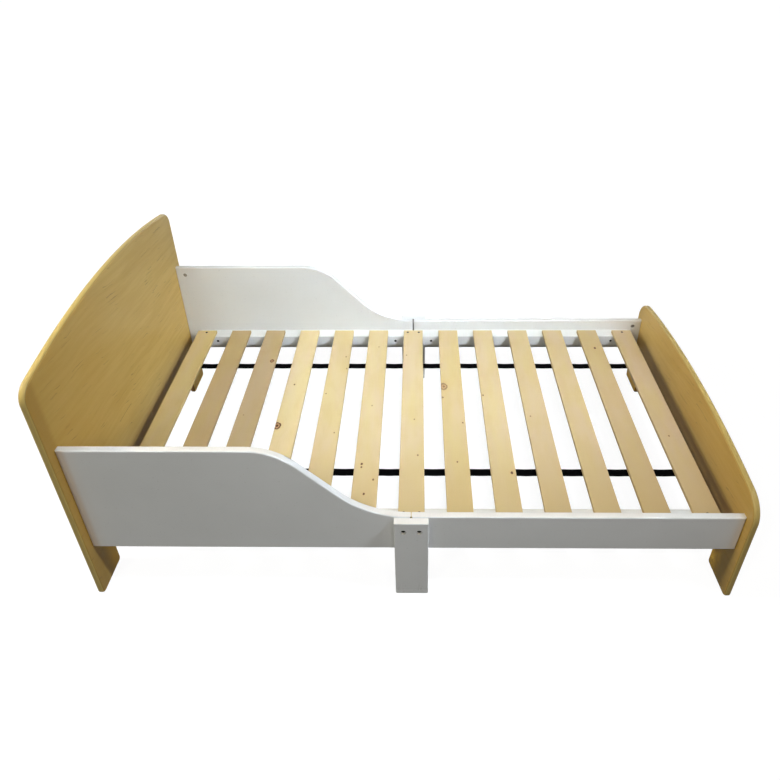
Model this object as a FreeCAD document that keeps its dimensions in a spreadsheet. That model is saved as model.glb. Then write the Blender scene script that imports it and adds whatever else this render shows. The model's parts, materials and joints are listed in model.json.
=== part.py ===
import FreeCAD, Part

import math
import os

import Sketcher

# A kids bed for a 700 by 1400 mm mattress, as an assembly of its separate pieces.
# Frame: the origin is on the floor under the middle of the bed, +Z is up, the headboard is at -X,
# the footboard at +X, the near side at -Y and the far side at +Y. All lengths are millimetres.

SIZES = {
    # The mattress and the room round it
    "mattress_length": 1400,
    "mattress_width": 700,
    "mattress_slack": 5,
    # Headboard and footboard
    "board_thickness": 15,
    "board_overhang": 21,
    "headboard_height": 642,
    "footboard_height": 328,
    "head_crown_radius": 1765,
    "foot_crown_radius": 2140,
    "head_shoulder_radius": 38,
    "foot_shoulder_radius": 60,
    "board_leg_width": 93,
    "leg_gap_height": 105,
    "leg_gap_corner_radius": 22,
    "leg_tip_radius": 9,
    "board_edge_radius": 5,
    # Side rails
    "rail_thickness": 15,
    "rail_floor_gap": 139,
    "low_rail_height": 102,
    "guard_height": 294,
    "guard_slope_run": 331,
    "guard_level_end": 4,
    "guard_upper_radius": 136,
    "guard_lower_radius": 200,
    "rail_edge_radius": 3,
    "seam_gap": 1.8,
    # Middle legs
    "middle_leg_width": 73,
    "middle_leg_thickness": 16,
    "middle_leg_drop": 2,
    "middle_leg_tip_radius": 4,
    "middle_leg_edge_radius": 1.5,
    # Cleats
    "cleat_depth": 35,
    "cleat_height": 34,
    "cleat_end_inset": 40,
    "cleat_seam_inset": 2,
    "cleat_edge_radius": 1.5,
    # Slats
    "slat_seat_height": 208,
    "slat_width": 58,
    "slat_thickness": 10,
    "slat_end_gap": 36,
    "slat_near_gap": 5,
    "slat_far_gap": 17,
    "slat_edge_radius": 1.5,
    # Webbing straps and their staples
    "strap_width": 20,
    "strap_thickness": 1.4,
    "strap_sag": 1.2,
    "strap_end_inset": 6,
    "near_strap_offset": 217,
    "far_strap_offset": 177,
    "staple_span": 10,
    "staple_wire": 1.2,
    "staple_leg": 7,
    # Bolts between boards and rails
    "bolt_diameter": 6,
    "bolt_head_diameter": 14,
    "bolt_head_thickness": 2.5,
    "bolt_head_recess": 3,
    "bolt_length": 50,
    "bolt_key_width": 4,
    "bolt_key_depth": 1.8,
    "bolt_bore_depth": 41,
    "guard_bolt_drop": 25,
    "low_bolt_drop": 20,
    "bolt_rise": 22,
    # Barrel nuts in the rails
    "nut_diameter": 11.4,
    "nut_length": 10.8,
    "nut_inset": 25,
    "nut_recess": 1.2,
    "nut_slot_width": 1.6,
    "nut_slot_depth": 1.2,
    # Bolts and threaded inserts of the middle legs
    "leg_bolt_spacing": 34,
    "leg_bolt_drop": 27,
    "leg_bolt_length": 17,
    "leg_bolt_head_diameter": 10,
    "leg_bolt_head_thickness": 5,
    "leg_bolt_key_width": 5,
    "leg_bolt_key_depth": 2.6,
    "leg_bolt_recess_diameter": 13,
    "leg_bolt_recess_depth": 9,
    "insert_diameter": 9.6,
    "insert_length": 12,
    # Dowels
    "dowel_diameter": 8,
    "dowel_length": 30,
    "dowel_board_depth": 12,
    "dowel_end_play": 0.4,
    "dowel_chamfer": 1,
    "board_dowel_step": 40,
    "seam_dowel_rise": 22,
    "seam_dowel_spacing": 28,
    # Screws
    "cleat_screw_diameter": 4,
    "cleat_screw_head_diameter": 7.6,
    "cleat_screw_length": 45,
    "cleat_screw_seam_inset": 55,
    "cleat_screw_end_inset": 98,
    "slat_screw_diameter": 3.5,
    "slat_screw_head_diameter": 7,
    "slat_screw_length": 30,
    "slat_screw_end_inset": 10,
    # Room round what sits in a hole
    "hole_clearance": 0.15,
    "bolt_clearance": 0.3,
    "cut_overrun": 5,
}

SLAT_COUNT = 13
NEAR, FAR = 1, -1
HEAD, FOOT = -1, 1
ORIGIN_INDEX = -1
START_INDEX, END_INDEX, CENTRE_INDEX = 1, 2, 3
CUT_TOLERANCE_SHARE = 0.001
PARALLEL_SHARE = 0.999999


class Size:
    """A length of the bed: its value, and the expression that ties it to the sheet."""

    def __init__(self, value, text=None):
        self.value = value
        self.text = text or f"{value}"

    def joined(self, other, sign, value):
        return Size(value, f"({self.text} {sign} {other.text})")

    def __add__(self, other):
        return self.joined(other, "+", self.value + other.value)

    def __sub__(self, other):
        return self.joined(other, "-", self.value - other.value)

    def __mul__(self, other):
        other = other if isinstance(other, Size) else Size(other)
        return self.joined(other, "*", self.value * other.value)

    def __truediv__(self, other):
        other = other if isinstance(other, Size) else Size(other)
        return self.joined(other, "/", self.value / other.value)

    def __neg__(self):
        return Size(-self.value, f"(-1 * {self.text})")

    def root(self):
        return Size(math.sqrt(self.value), f"sqrt({self.text})")


def fill_sheet(doc):
    """Writes the driving sizes into the sheet and returns them by name."""
    sheet = doc.addObject("Spreadsheet::Sheet", "sizes")
    named = {}
    for row, (name, value) in enumerate(SIZES.items(), start=1):
        sheet.set(f"A{row}", name)
        sheet.set(f"B{row}", str(value))
        sheet.setAlias(f"B{row}", name)
        named[name] = Size(value, f"sizes.{name}")
    return named


def bind(thing, place, length):
    """Ties a property of a document object to the sheet."""
    thing.setExpression(place, length.text)


def origin_part(body, role):
    """The plane or axis of a body's own origin that has this role."""
    return next(part for part in body.Origin.OriginFeatures if part.Role == role)


def make_body(name):
    return document.addObject("PartDesign::Body", name)


def vector(point):
    return FreeCAD.Vector(point[0].value, point[1].value, 0)


class Drawing:
    """A sketch of a body, on one of its origin planes or at a distance in front of it."""

    def __init__(self, body, name, plane, offset=None):
        self.sketch = body.newObject("Sketcher::SketchObject", f"{body.Name}_{name}")
        self.sketch.AttachmentSupport = [(origin_part(body, plane), "")]
        self.sketch.MapMode = "FlatFace"
        self.constraints = []
        if offset is not None:
            bind(self.sketch, "AttachmentOffset.Base.z", offset)

    def rule(self, kind, *places):
        """A constraint with no size, such as one that joins two ends."""
        self.constraints.append((Sketcher.Constraint(kind, *places), None))

    def measure(self, kind, length, *places):
        """A constraint whose size is tied to the sheet."""
        self.constraints.append((Sketcher.Constraint(kind, *places, length.value), length.text))

    def finished(self):
        """Adds the constraints in one go, ties their sizes to the sheet and returns the sketch."""
        self.sketch.addConstraint([constraint for constraint, text in self.constraints])
        for number, (constraint, text) in enumerate(self.constraints):
            if text:
                self.sketch.setExpression(f"Constraints[{number}]", text)
        return self.sketch

    def place(self, edge, end, point):
        """Ties an edge's end or centre to its place from the sketch's origin."""
        self.measure("DistanceX", point[0], ORIGIN_INDEX, START_INDEX, edge, end)
        self.measure("DistanceY", point[1], ORIGIN_INDEX, START_INDEX, edge, end)

    def line(self, start, end):
        return self.sketch.addGeometry(Part.LineSegment(vector(start), vector(end)), False)

    def arc(self, start, middle, end):
        return self.sketch.addGeometry(Part.Arc(start, middle, end), False)

    def outline(self, corners):
        """A closed outline with straight sides through the corners."""
        ends = corners[1:] + corners[:1]
        sides = [self.line(start, end) for start, end in zip(corners, ends)]
        for side, following, corner in zip(sides, sides[1:] + sides[:1], ends):
            self.rule("Coincident", side, END_INDEX, following, START_INDEX)
            self.place(following, START_INDEX, corner)

    def circle(self, centre, diameter):
        ring = Part.Circle(vector(centre), FreeCAD.Vector(0, 0, 1), diameter.value / 2)
        edge = self.sketch.addGeometry(ring, False)
        self.place(edge, CENTRE_INDEX, centre)
        self.measure("Diameter", diameter, edge)

    def hexagon(self, width):
        """A hexagon about the origin, for the key of a bolt."""
        reach = width / Size(3).root()
        half = width / 2
        tall = [(-reach / 2, -half), (reach / 2, -half), (reach, ZERO)]
        self.outline(tall + [(reach / 2, half), (-reach / 2, half), (-reach, ZERO)])


def pad(body, drawing, length, way=1):
    """Raises a drawing to a solid, along its plane's normal or against it."""
    feature = body.newObject("PartDesign::Pad", f"{drawing.sketch.Name}_pad")
    feature.Profile = drawing.finished()
    feature.Reversed = way < 0
    bind(feature, "Length", length)
    return feature


def cut(body, drawing, depth, way=1):
    """Cuts a drawing into the body, along its plane's normal or against it."""
    feature = body.newObject("PartDesign::Pocket", f"{drawing.sketch.Name}_cut")
    feature.Profile = drawing.finished()
    feature.Reversed = way > 0
    bind(feature, "Length", depth)
    return feature


def turn(body, drawing):
    """Turns a drawing of half a section about the body's Z axis."""
    feature = body.newObject("PartDesign::Revolution", f"{drawing.sketch.Name}_turned")
    feature.Profile = drawing.finished()
    feature.ReferenceAxis = (origin_part(body, "Z_Axis"), [""])
    feature.Angle = 360
    return feature


def dress(body, kind, base, names, property_name, reach):
    """Adds a fillet or chamfer to the named edges or faces of a feature."""
    feature = body.newObject(f"PartDesign::{kind}", f"{base.Name}_{kind.lower()}")
    feature.Base = (base, names)
    bind(feature, property_name, reach)
    return feature


def edges_near(feature, points):
    """The names of the edges whose middles lie nearest to the points."""
    document.recompute()
    middles = [edge.CenterOfMass for edge in feature.Shape.Edges]
    names = []
    for point in points:
        gaps = [middle.distanceToPoint(point) for middle in middles]
        names.append(f"Edge{gaps.index(min(gaps)) + 1}")
    return names


def outer_faces(feature, direction):
    """The names of the two flat faces that lie furthest along a direction and against it."""
    document.recompute()
    reach = [face.CenterOfMass.dot(direction) for face in feature.Shape.Faces]
    return [f"Face{reach.index(end(reach)) + 1}" for end in (min, max)]


def edges_along(feature, direction):
    """The names of the straight edges that run along a direction."""
    document.recompute()
    names = []
    for number, edge in enumerate(feature.Shape.Edges, start=1):
        if abs(edge.tangentAt(edge.FirstParameter).dot(direction)) > PARALLEL_SHARE:
            names.append(f"Edge{number}")
    return names


document = FreeCAD.newDocument("kids_bed")
size = fill_sheet(document)
document.recompute()

ZERO = Size(0)
X_WAY = FreeCAD.Vector(1, 0, 0)
Y_WAY = FreeCAD.Vector(0, 1, 0)
Z_WAY = FreeCAD.Vector(0, 0, 1)

# Places that several pieces share
half_length = size["mattress_length"] / 2 + size["mattress_slack"]
half_width = size["mattress_width"] / 2 + size["mattress_slack"]
rail_face = half_width + size["rail_thickness"]
rail_middle = half_width + size["rail_thickness"] / 2
half_board = rail_face + size["board_overhang"]
rail_floor = size["rail_floor_gap"]
low_rail_top = rail_floor + size["low_rail_height"]
guard_top = rail_floor + size["guard_height"]
half_seam = size["seam_gap"] / 2
bolt_low = rail_floor + size["bolt_rise"]
guard_bolt_high = guard_top - size["guard_bolt_drop"]
low_bolt_high = low_rail_top - size["low_bolt_drop"]
bolt_hole = size["bolt_diameter"] + size["bolt_clearance"] * 2
nut_hole = size["nut_diameter"] + size["bolt_clearance"] * 2
insert_hole = size["insert_diameter"] + size["hole_clearance"] * 2
dowel_hole = size["dowel_diameter"] + size["hole_clearance"] * 2
dowel_board_hole = size["dowel_board_depth"] + size["dowel_end_play"]
dowel_rail_hole = size["dowel_length"] - size["dowel_board_depth"] + size["dowel_end_play"]
seam_dowel_hole = size["dowel_length"] / 2 - half_seam + size["dowel_end_play"]
cleat_floor = size["slat_seat_height"] - size["cleat_height"]
cleat_middle = cleat_floor + size["cleat_height"] / 2
cleat_end = half_length - size["cleat_end_inset"]
cleat_start = half_seam + size["cleat_seam_inset"]
cleat_face = half_width - size["cleat_depth"]
cleat_screw_places = [size["cleat_screw_seam_inset"], half_length - size["cleat_screw_end_inset"]]
cleat_screw_hole = size["cleat_screw_diameter"] + size["hole_clearance"] * 2
slat_screw_hole = size["slat_screw_diameter"] + size["hole_clearance"] * 2
leg_bolt_place = size["leg_bolt_spacing"] / 2
middle_leg_height = low_rail_top - size["middle_leg_drop"]
leg_bolt_height = middle_leg_height - size["leg_bolt_drop"]
half_slat = size["slat_width"] / 2
slat_near, slat_far = size["slat_near_gap"] - half_width, half_width - size["slat_far_gap"]
last_slat = half_length - size["slat_end_gap"] - half_slat
slat_pitch = last_slat * 2 / (SLAT_COUNT - 1)
slat_top = size["slat_seat_height"] + size["slat_thickness"]
slat_screw_places = {
    NEAR: slat_near + size["slat_screw_end_inset"],
    FAR: slat_far - size["slat_screw_end_inset"],
}
staple_gap = size["staple_wire"] + size["hole_clearance"] * 2

guard_dowels = [bolt_low + size["board_dowel_step"], guard_bolt_high - size["board_dowel_step"]]
low_dowels = [(bolt_low + low_bolt_high) / 2]
seam_dowel_low = rail_floor + size["seam_dowel_rise"]
seam_dowels = [seam_dowel_low, seam_dowel_low + size["seam_dowel_spacing"]]
ends = {
    HEAD: {"bolts": [bolt_low, guard_bolt_high], "dowels": guard_dowels},
    FOOT: {"bolts": [bolt_low, low_bolt_high], "dowels": low_dowels},
}


def signed(way, length):
    """A length along a direction or against it."""
    return length if way > 0 else -length


def holes(body, name, plane, offset, centres, diameter, depth, way):
    """Round holes of one size, cut from one face of a body."""
    drawing = Drawing(body, name, plane, offset)
    for centre in centres:
        drawing.circle(centre, diameter)
    return cut(body, drawing, depth, way)


def make_board(name, end, height, crown, shoulder_radius):
    """Headboard or footboard: a crowned panel on two legs, with rounded edges all round."""
    body = make_body(name)
    thickness = size["board_thickness"]
    side_top = height - crown + (crown * crown - half_board * half_board).root()
    left, right = -half_board, half_board
    panel = Drawing(body, "panel", "YZ_Plane", signed(end, half_length))
    sole = panel.line((left, ZERO), (right, ZERO))
    right_side = panel.line((right, ZERO), (right, side_top))
    top = panel.arc(vector((right, side_top)), vector((ZERO, height)), vector((left, side_top)))
    left_side = panel.line((left, side_top), (left, ZERO))
    panel.rule("Coincident", sole, END_INDEX, right_side, START_INDEX)
    panel.rule("Coincident", right_side, END_INDEX, top, START_INDEX)
    panel.rule("Coincident", top, END_INDEX, left_side, START_INDEX)
    panel.rule("Coincident", left_side, END_INDEX, sole, START_INDEX)
    panel.place(sole, START_INDEX, (left, ZERO))
    panel.place(sole, END_INDEX, (right, ZERO))
    panel.rule("Vertical", right_side)
    panel.rule("Vertical", left_side)
    panel.place(top, CENTRE_INDEX, (ZERO, height - crown))
    panel.measure("Radius", crown, top)
    blank = pad(body, panel, thickness, end)

    gap_side = half_board - size["board_leg_width"]
    gap = Drawing(body, "leg_gap", "YZ_Plane", signed(end, half_length))
    gap_floor = -size["cut_overrun"]
    gap_top = size["leg_gap_height"]
    low_corners = [(-gap_side, gap_floor), (gap_side, gap_floor)]
    gap.outline(low_corners + [(gap_side, gap_top), (-gap_side, gap_top)])
    opened = cut(body, gap, thickness, end)

    depth = end * (half_length + thickness / 2).value
    shoulders = [FreeCAD.Vector(depth, way * half_board.value, side_top.value) for way in (-1, 1)]
    names = edges_near(opened, shoulders)
    rounded = dress(body, "Fillet", opened, names, "Radius", shoulder_radius)
    tips = []
    for way in (-1, 1):
        for place in (half_board, gap_side):
            tips.append(FreeCAD.Vector(depth, way * place.value, 0))
    names = edges_near(rounded, tips)
    tipped = dress(body, "Fillet", rounded, names, "Radius", size["leg_tip_radius"])
    corners = [FreeCAD.Vector(depth, way * gap_side.value, gap_top.value) for way in (-1, 1)]
    names = edges_near(tipped, corners)
    cornered = dress(body, "Fillet", tipped, names, "Radius", size["leg_gap_corner_radius"])
    names = outer_faces(cornered, X_WAY)
    dress(body, "Fillet", cornered, names, "Radius", size["board_edge_radius"])

    bolts = [(signed(side, rail_middle), z) for side in (NEAR, FAR) for z in ends[end]["bolts"]]
    dowels = [(signed(side, rail_middle), z) for side in (NEAR, FAR) for z in ends[end]["dowels"]]
    inner = signed(end, half_length)
    outer = signed(end, half_length + thickness)
    recess = size["bolt_head_diameter"] + size["bolt_clearance"] * 2
    holes(body, "bolt_holes", "YZ_Plane", inner, bolts, bolt_hole, thickness, end)
    holes(body, "recesses", "YZ_Plane", outer, bolts, recess, size["bolt_head_recess"], -end)
    holes(body, "dowel_holes", "YZ_Plane", inner, dowels, dowel_hole, dowel_board_hole, end)
    return body


def guard_profile(body, offset):
    """The tall half of a side rail: level at the head, then an S-curve down to the low rail."""
    low, high = low_rail_top, guard_top
    seam = -half_seam
    slope_start = -size["guard_slope_run"]
    slope_end = -size["guard_level_end"]
    upper, lower = size["guard_upper_radius"], size["guard_lower_radius"]
    run = slope_start.value - slope_end.value
    centres_rise = upper.value + lower.value - (high.value - low.value)
    centres_gap = math.hypot(run, centres_rise)
    steepness = math.asin((upper.value + lower.value) / centres_gap)
    angle = steepness - math.asin(centres_rise / centres_gap)

    def on_upper(turned):
        x = slope_start.value + upper.value * math.sin(turned)
        return FreeCAD.Vector(x, high.value - upper.value * (1 - math.cos(turned)), 0)

    def on_lower(turned):
        x = slope_end.value - lower.value * math.sin(turned)
        return FreeCAD.Vector(x, low.value + lower.value * (1 - math.cos(turned)), 0)

    drawing = Drawing(body, "profile", "XZ_Plane", offset)
    head = -half_length
    floor_line = drawing.line((head, rail_floor), (seam, rail_floor))
    seam_line = drawing.line((seam, rail_floor), (seam, low))
    level = drawing.line((seam, low), (slope_end, low))
    foot_arc = drawing.arc(on_lower(angle), on_lower(angle / 2), on_lower(0))
    slope = drawing.sketch.addGeometry(Part.LineSegment(on_lower(angle), on_upper(angle)), False)
    top_arc = drawing.arc(on_upper(angle), on_upper(angle / 2), on_upper(0))
    top_line = drawing.line((slope_start, high), (head, high))
    head_line = drawing.line((head, high), (head, rail_floor))
    drawing.rule("Coincident", floor_line, END_INDEX, seam_line, START_INDEX)
    drawing.rule("Coincident", seam_line, END_INDEX, level, START_INDEX)
    drawing.rule("Tangent", level, END_INDEX, foot_arc, END_INDEX)
    drawing.rule("Tangent", foot_arc, START_INDEX, slope, START_INDEX)
    drawing.rule("Tangent", slope, END_INDEX, top_arc, START_INDEX)
    drawing.rule("Tangent", top_arc, END_INDEX, top_line, START_INDEX)
    drawing.rule("Coincident", top_line, END_INDEX, head_line, START_INDEX)
    drawing.rule("Coincident", head_line, END_INDEX, floor_line, START_INDEX)
    drawing.place(floor_line, START_INDEX, (head, rail_floor))
    drawing.place(floor_line, END_INDEX, (seam, rail_floor))
    drawing.place(level, START_INDEX, (seam, low))
    drawing.place(level, END_INDEX, (slope_end, low))
    drawing.measure("Radius", lower, foot_arc)
    drawing.measure("Radius", upper, top_arc)
    drawing.place(top_line, START_INDEX, (slope_start, high))
    drawing.place(top_line, END_INDEX, (head, high))
    return drawing


def low_profile(body, offset):
    """The low half of a side rail: a plain straight board."""
    drawing = Drawing(body, "profile", "XZ_Plane", offset)
    low_corners = [(half_seam, rail_floor), (half_length, rail_floor)]
    drawing.outline(low_corners + [(half_length, low_rail_top), (half_seam, low_rail_top)])
    return drawing


def make_rail(name, end, side):
    """Half of a side rail, with the bores for its bolts, nuts, dowels, inserts and screws."""
    body = make_body(name)
    inner = signed(side, half_width)
    outer = signed(side, rail_face)
    profile = guard_profile(body, inner) if end == HEAD else low_profile(body, inner)
    blank = pad(body, profile, size["rail_thickness"], side)
    faces = outer_faces(blank, Y_WAY)
    dress(body, "Fillet", blank, faces, "Radius", size["rail_edge_radius"])

    heights = ends[end]
    across = signed(-side, rail_middle)
    tip = signed(end, half_length)
    seam = signed(end, half_seam)
    nut_x = signed(end, half_length - size["nut_inset"])
    bolts = [(across, z) for z in heights["bolts"]]
    dowels = [(across, z) for z in heights["dowels"]]
    seam_centres = [(across, z) for z in seam_dowels]
    nuts = [(nut_x, z) for z in heights["bolts"]]
    nut_depth = size["nut_recess"] + size["nut_length"] + size["hole_clearance"]
    holes(body, "bolt_bores", "YZ_Plane", tip, bolts, bolt_hole, size["bolt_bore_depth"], -end)
    holes(body, "nut_holes", "XZ_Plane", inner, nuts, nut_hole, nut_depth, side)
    holes(body, "dowel_holes", "YZ_Plane", tip, dowels, dowel_hole, dowel_rail_hole, -end)
    holes(body, "seam_holes", "YZ_Plane", seam, seam_centres, dowel_hole, seam_dowel_hole, end)

    insert = [(signed(end, leg_bolt_place), leg_bolt_height)]
    insert_depth = size["insert_length"] + size["hole_clearance"]
    holes(body, "insert_hole", "XZ_Plane", outer, insert, insert_hole, insert_depth, -side)
    screws = [(signed(end, x), cleat_middle) for x in cleat_screw_places]
    screw_depth = size["cleat_screw_length"] - size["cleat_depth"] + size["hole_clearance"]
    holes(body, "screw_holes", "XZ_Plane", inner, screws, cleat_screw_hole, screw_depth, side)
    return body


def countersink(body, feature, name_points, hole, head):
    """Opens the mouths of round holes to seat the heads of countersunk screws."""
    names = edges_near(feature, name_points)
    return dress(body, "Chamfer", feature, names, "Size", (head - hole) / 2 + size["hole_clearance"])


def make_cleat(name, end, side):
    """A batten inside a rail half, with its own screws through it and the slats on top of it."""
    body = make_body(name)
    inner = signed(side, cleat_face)
    start, stop = signed(end, cleat_start), signed(end, cleat_end)
    left, right = (stop, start) if end == HEAD else (start, stop)
    section = Drawing(body, "profile", "XZ_Plane", inner)
    top = size["slat_seat_height"]
    section.outline([(left, cleat_floor), (right, cleat_floor), (right, top), (left, top)])
    blank = pad(body, section, size["cleat_depth"], side)
    faces = outer_faces(blank, Y_WAY)
    showing = faces[1] if side == NEAR else faces[0]
    rounded = dress(body, "Fillet", blank, [showing], "Radius", size["cleat_edge_radius"])

    screws = [(signed(end, x), cleat_middle) for x in cleat_screw_places]
    depth = size["cleat_depth"]
    bored = holes(body, "screws", "XZ_Plane", inner, screws, cleat_screw_hole, depth, side)
    mouths = [FreeCAD.Vector(x.value, -inner.value, z.value) for x, z in screws]
    countersink(body, bored, mouths, cleat_screw_hole, size["cleat_screw_head_diameter"])

    across = slat_screw_places[side]
    pilots = [(signed(end, x), across) for x in (leg_bolt_place, last_slat)]
    reach = size["slat_screw_length"] - size["slat_thickness"] + size["hole_clearance"]
    holes(body, "pilots", "XY_Plane", top, pilots, slat_screw_hole, reach, -1)
    return body


def make_middle_leg(name, side):
    """The board that stands outside the seam of two rail halves and bolts them together."""
    body = make_body(name)
    inner = signed(side, rail_face)
    thickness = size["middle_leg_thickness"]
    outer = signed(side, rail_face + thickness)
    half = size["middle_leg_width"] / 2
    profile = Drawing(body, "profile", "XZ_Plane", inner)
    profile.outline([(-half, ZERO), (half, ZERO), (half, middle_leg_height), (-half, middle_leg_height)])
    blank = pad(body, profile, thickness, side)
    depth = -(inner.value + outer.value) / 2
    tips = [FreeCAD.Vector(way * half.value, depth, 0) for way in (-1, 1)]
    tipped = dress(body, "Fillet", blank, edges_near(blank, tips), "Radius", size["middle_leg_tip_radius"])
    faces = outer_faces(tipped, Y_WAY)
    dress(body, "Fillet", tipped, faces, "Radius", size["middle_leg_edge_radius"])
    bolts = [(signed(way, leg_bolt_place), leg_bolt_height) for way in (-1, 1)]
    recess = size["leg_bolt_recess_diameter"]
    deep = size["leg_bolt_recess_depth"]
    holes(body, "bolt_holes", "XZ_Plane", inner, bolts, bolt_hole, thickness, side)
    holes(body, "recesses", "XZ_Plane", outer, bolts, recess, deep, -side)
    return body


def make_slat(number):
    """A slat across the bed, slotted below for its staples; the ends and the middle are screwed."""
    body = make_body(f"slat_{number:02d}")
    plan = Drawing(body, "plan", "XY_Plane")
    near_corners = [(-half_slat, slat_near), (half_slat, slat_near)]
    plan.outline(near_corners + [(half_slat, slat_far), (-half_slat, slat_far)])
    blank = pad(body, plan, size["slat_thickness"])
    names = edges_along(blank, Y_WAY)
    dress(body, "Fillet", blank, names, "Radius", size["slat_edge_radius"])

    slots = Drawing(body, "slots", "XY_Plane")
    slot_rectangles(slots, [ZERO])
    depth = size["staple_leg"] - size["strap_thickness"] + size["hole_clearance"]
    cut(body, slots, depth)

    middle = (SLAT_COUNT + 1) // 2
    places = {1: [ZERO], SLAT_COUNT: [ZERO], middle: [-leg_bolt_place, leg_bolt_place]}
    if number in places:
        top = size["slat_thickness"]
        spots = [(x, y) for x in places[number] for y in slat_screw_places.values()]
        bored = holes(body, "screws", "XY_Plane", top, spots, slat_screw_hole, top, -1)
        mouths = [FreeCAD.Vector(x.value, y.value, top.value) for x, y in spots]
        countersink(body, bored, mouths, slat_screw_hole, size["slat_screw_head_diameter"])
    bind(body, "Placement.Base.x", slat_pitch * (number - 1) - last_slat)
    bind(body, "Placement.Base.z", size["slat_seat_height"])
    return body


def slot_rectangles(drawing, centres):
    """Slots for the legs of the staples of both straps, about these places along the bed."""
    for centre in centres:
        for strap in (-size["near_strap_offset"], size["far_strap_offset"]):
            staple_slots(drawing, centre, strap)


def staple_slots(drawing, centre, strap):
    """The two slots of one staple, whose back runs along the bed."""
    for way in (-1, 1):
        x = centre + signed(way, (size["staple_span"] - size["staple_wire"]) / 2)
        left, right = x - staple_gap / 2, x + staple_gap / 2
        low, high = strap - staple_gap / 2, strap + staple_gap / 2
        drawing.outline([(left, low), (right, low), (right, high), (left, high)])


def repeat_along_bed(body, feature, count):
    """Repeats a feature of a strap at every slat."""
    row = body.newObject("PartDesign::LinearPattern", f"{feature.Name}_row")
    row.Originals = [feature]
    row.Direction = (origin_part(body, "X_Axis"), [""])
    row.Occurrences = count
    bind(row, "Length", slat_pitch * (count - 1))
    body.Tip = row


def make_strap(name, across):
    """A webbing strap under the slats: flat below each slat and slack between two of them."""
    body = make_body(name)
    thickness = size["strap_thickness"]
    gap = slat_pitch - size["slat_width"]
    sag = size["strap_sag"]
    bow = (gap * gap / 4 + sag * sag) / (sag * 2)
    start = -(across + size["strap_width"] / 2)
    bay = Drawing(body, "bay", "XZ_Plane", start)
    levels = (ZERO, -thickness)
    stops = [ZERO, half_slat, half_slat + gap, slat_pitch]
    lines, arcs = [], []
    for level in levels:
        lines.append(bay.line((stops[0], level), (stops[1], level)))
        dip = FreeCAD.Vector((stops[1] + gap / 2).value, (level - sag).value, 0)
        arcs.append(bay.arc(vector((stops[1], level)), dip, vector((stops[2], level))))
        lines.append(bay.line((stops[2], level), (stops[3], level)))
    for row, level in enumerate(levels):
        before, after = lines[2 * row], lines[2 * row + 1]
        bay.place(before, START_INDEX, (stops[0], level))
        bay.place(before, END_INDEX, (stops[1], level))
        bay.place(after, START_INDEX, (stops[2], level))
        bay.place(after, END_INDEX, (stops[3], level))
        bay.rule("Coincident", before, END_INDEX, arcs[row], START_INDEX)
        bay.rule("Coincident", arcs[row], END_INDEX, after, START_INDEX)
        bay.measure("Radius", bow, arcs[row])
    for top, bottom, end in ((lines[0], lines[2], START_INDEX), (lines[1], lines[3], END_INDEX)):
        x = stops[0] if end == START_INDEX else stops[3]
        closing = bay.line((x, levels[0]), (x, levels[1]))
        bay.rule("Coincident", closing, START_INDEX, top, end)
        bay.rule("Coincident", closing, END_INDEX, bottom, end)
    first = pad(body, bay, size["strap_width"])

    repeat_along_bed(body, first, SLAT_COUNT - 1)

    tail = half_slat - size["strap_end_inset"]
    length = last_slat * 2
    for word, left, right in (("head", -tail, ZERO), ("foot", length, length + tail)):
        flap = Drawing(body, f"{word}_tail", "XZ_Plane", start)
        flap.outline([(left, -thickness), (right, -thickness), (right, ZERO), (left, ZERO)])
        pad(body, flap, size["strap_width"])

    pierced = Drawing(body, "staple_holes", "XY_Plane")
    staple_slots(pierced, ZERO, across)
    repeat_along_bed(body, cut(body, pierced, thickness, -1), SLAT_COUNT)
    bind(body, "Placement.Base.x", -last_slat)
    bind(body, "Placement.Base.z", size["slat_seat_height"])
    return body


def turned_body(name, section):
    """A body turned about its Z axis from half its section."""
    body = make_body(name)
    drawing = Drawing(body, "section", "XZ_Plane")
    drawing.outline(section)
    turn(body, drawing)
    return body


def key_socket(body, width, depth):
    drawing = Drawing(body, "key", "XY_Plane")
    drawing.hexagon(width)
    cut(body, drawing, depth, -1)


def make_bolt(name, head_diameter, head_thickness, length, key_width, key_depth):
    """A bolt hanging below the origin, with its head's top at the origin and a hexagon key."""
    shank = size["bolt_diameter"] / 2
    head = head_diameter / 2
    tip = -(head_thickness + length)
    below_head = [(shank, -head_thickness), (head, -head_thickness)]
    section = [(ZERO, tip), (shank, tip)] + below_head + [(head, ZERO), (ZERO, ZERO)]
    body = turned_body(name, section)
    key_socket(body, key_width, key_depth)
    return body


def make_nut():
    """A barrel nut: a short cylinder with a cross bore and a slot to turn it by."""
    body = make_body("barrel_nut")
    drawing = Drawing(body, "round", "XY_Plane")
    drawing.circle((ZERO, ZERO), size["nut_diameter"])
    pad(body, drawing, size["nut_length"], -1)
    depth = size["nut_diameter"] + size["cut_overrun"]
    bore = size["bolt_diameter"] + size["hole_clearance"] * 2
    centre = [(ZERO, -(size["rail_thickness"] / 2 - size["nut_recess"]))]
    side = -depth / 2
    holes(body, "bore", "YZ_Plane", side, centre, bore, depth, 1)
    half_slot = size["nut_slot_width"] / 2
    reach = size["nut_diameter"]
    slot = Drawing(body, "slot", "XY_Plane")
    slot.outline([(-reach, -half_slot), (reach, -half_slot), (reach, half_slot), (-reach, half_slot)])
    cut(body, slot, size["nut_slot_depth"], -1)
    return body


def make_insert():
    """A threaded sleeve that is let into the outer face of a rail."""
    inner = size["bolt_diameter"] / 2 + size["hole_clearance"]
    outer = size["insert_diameter"] / 2
    deep = -size["insert_length"]
    return turned_body("insert", [(inner, deep), (outer, deep), (outer, ZERO), (inner, ZERO)])


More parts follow.
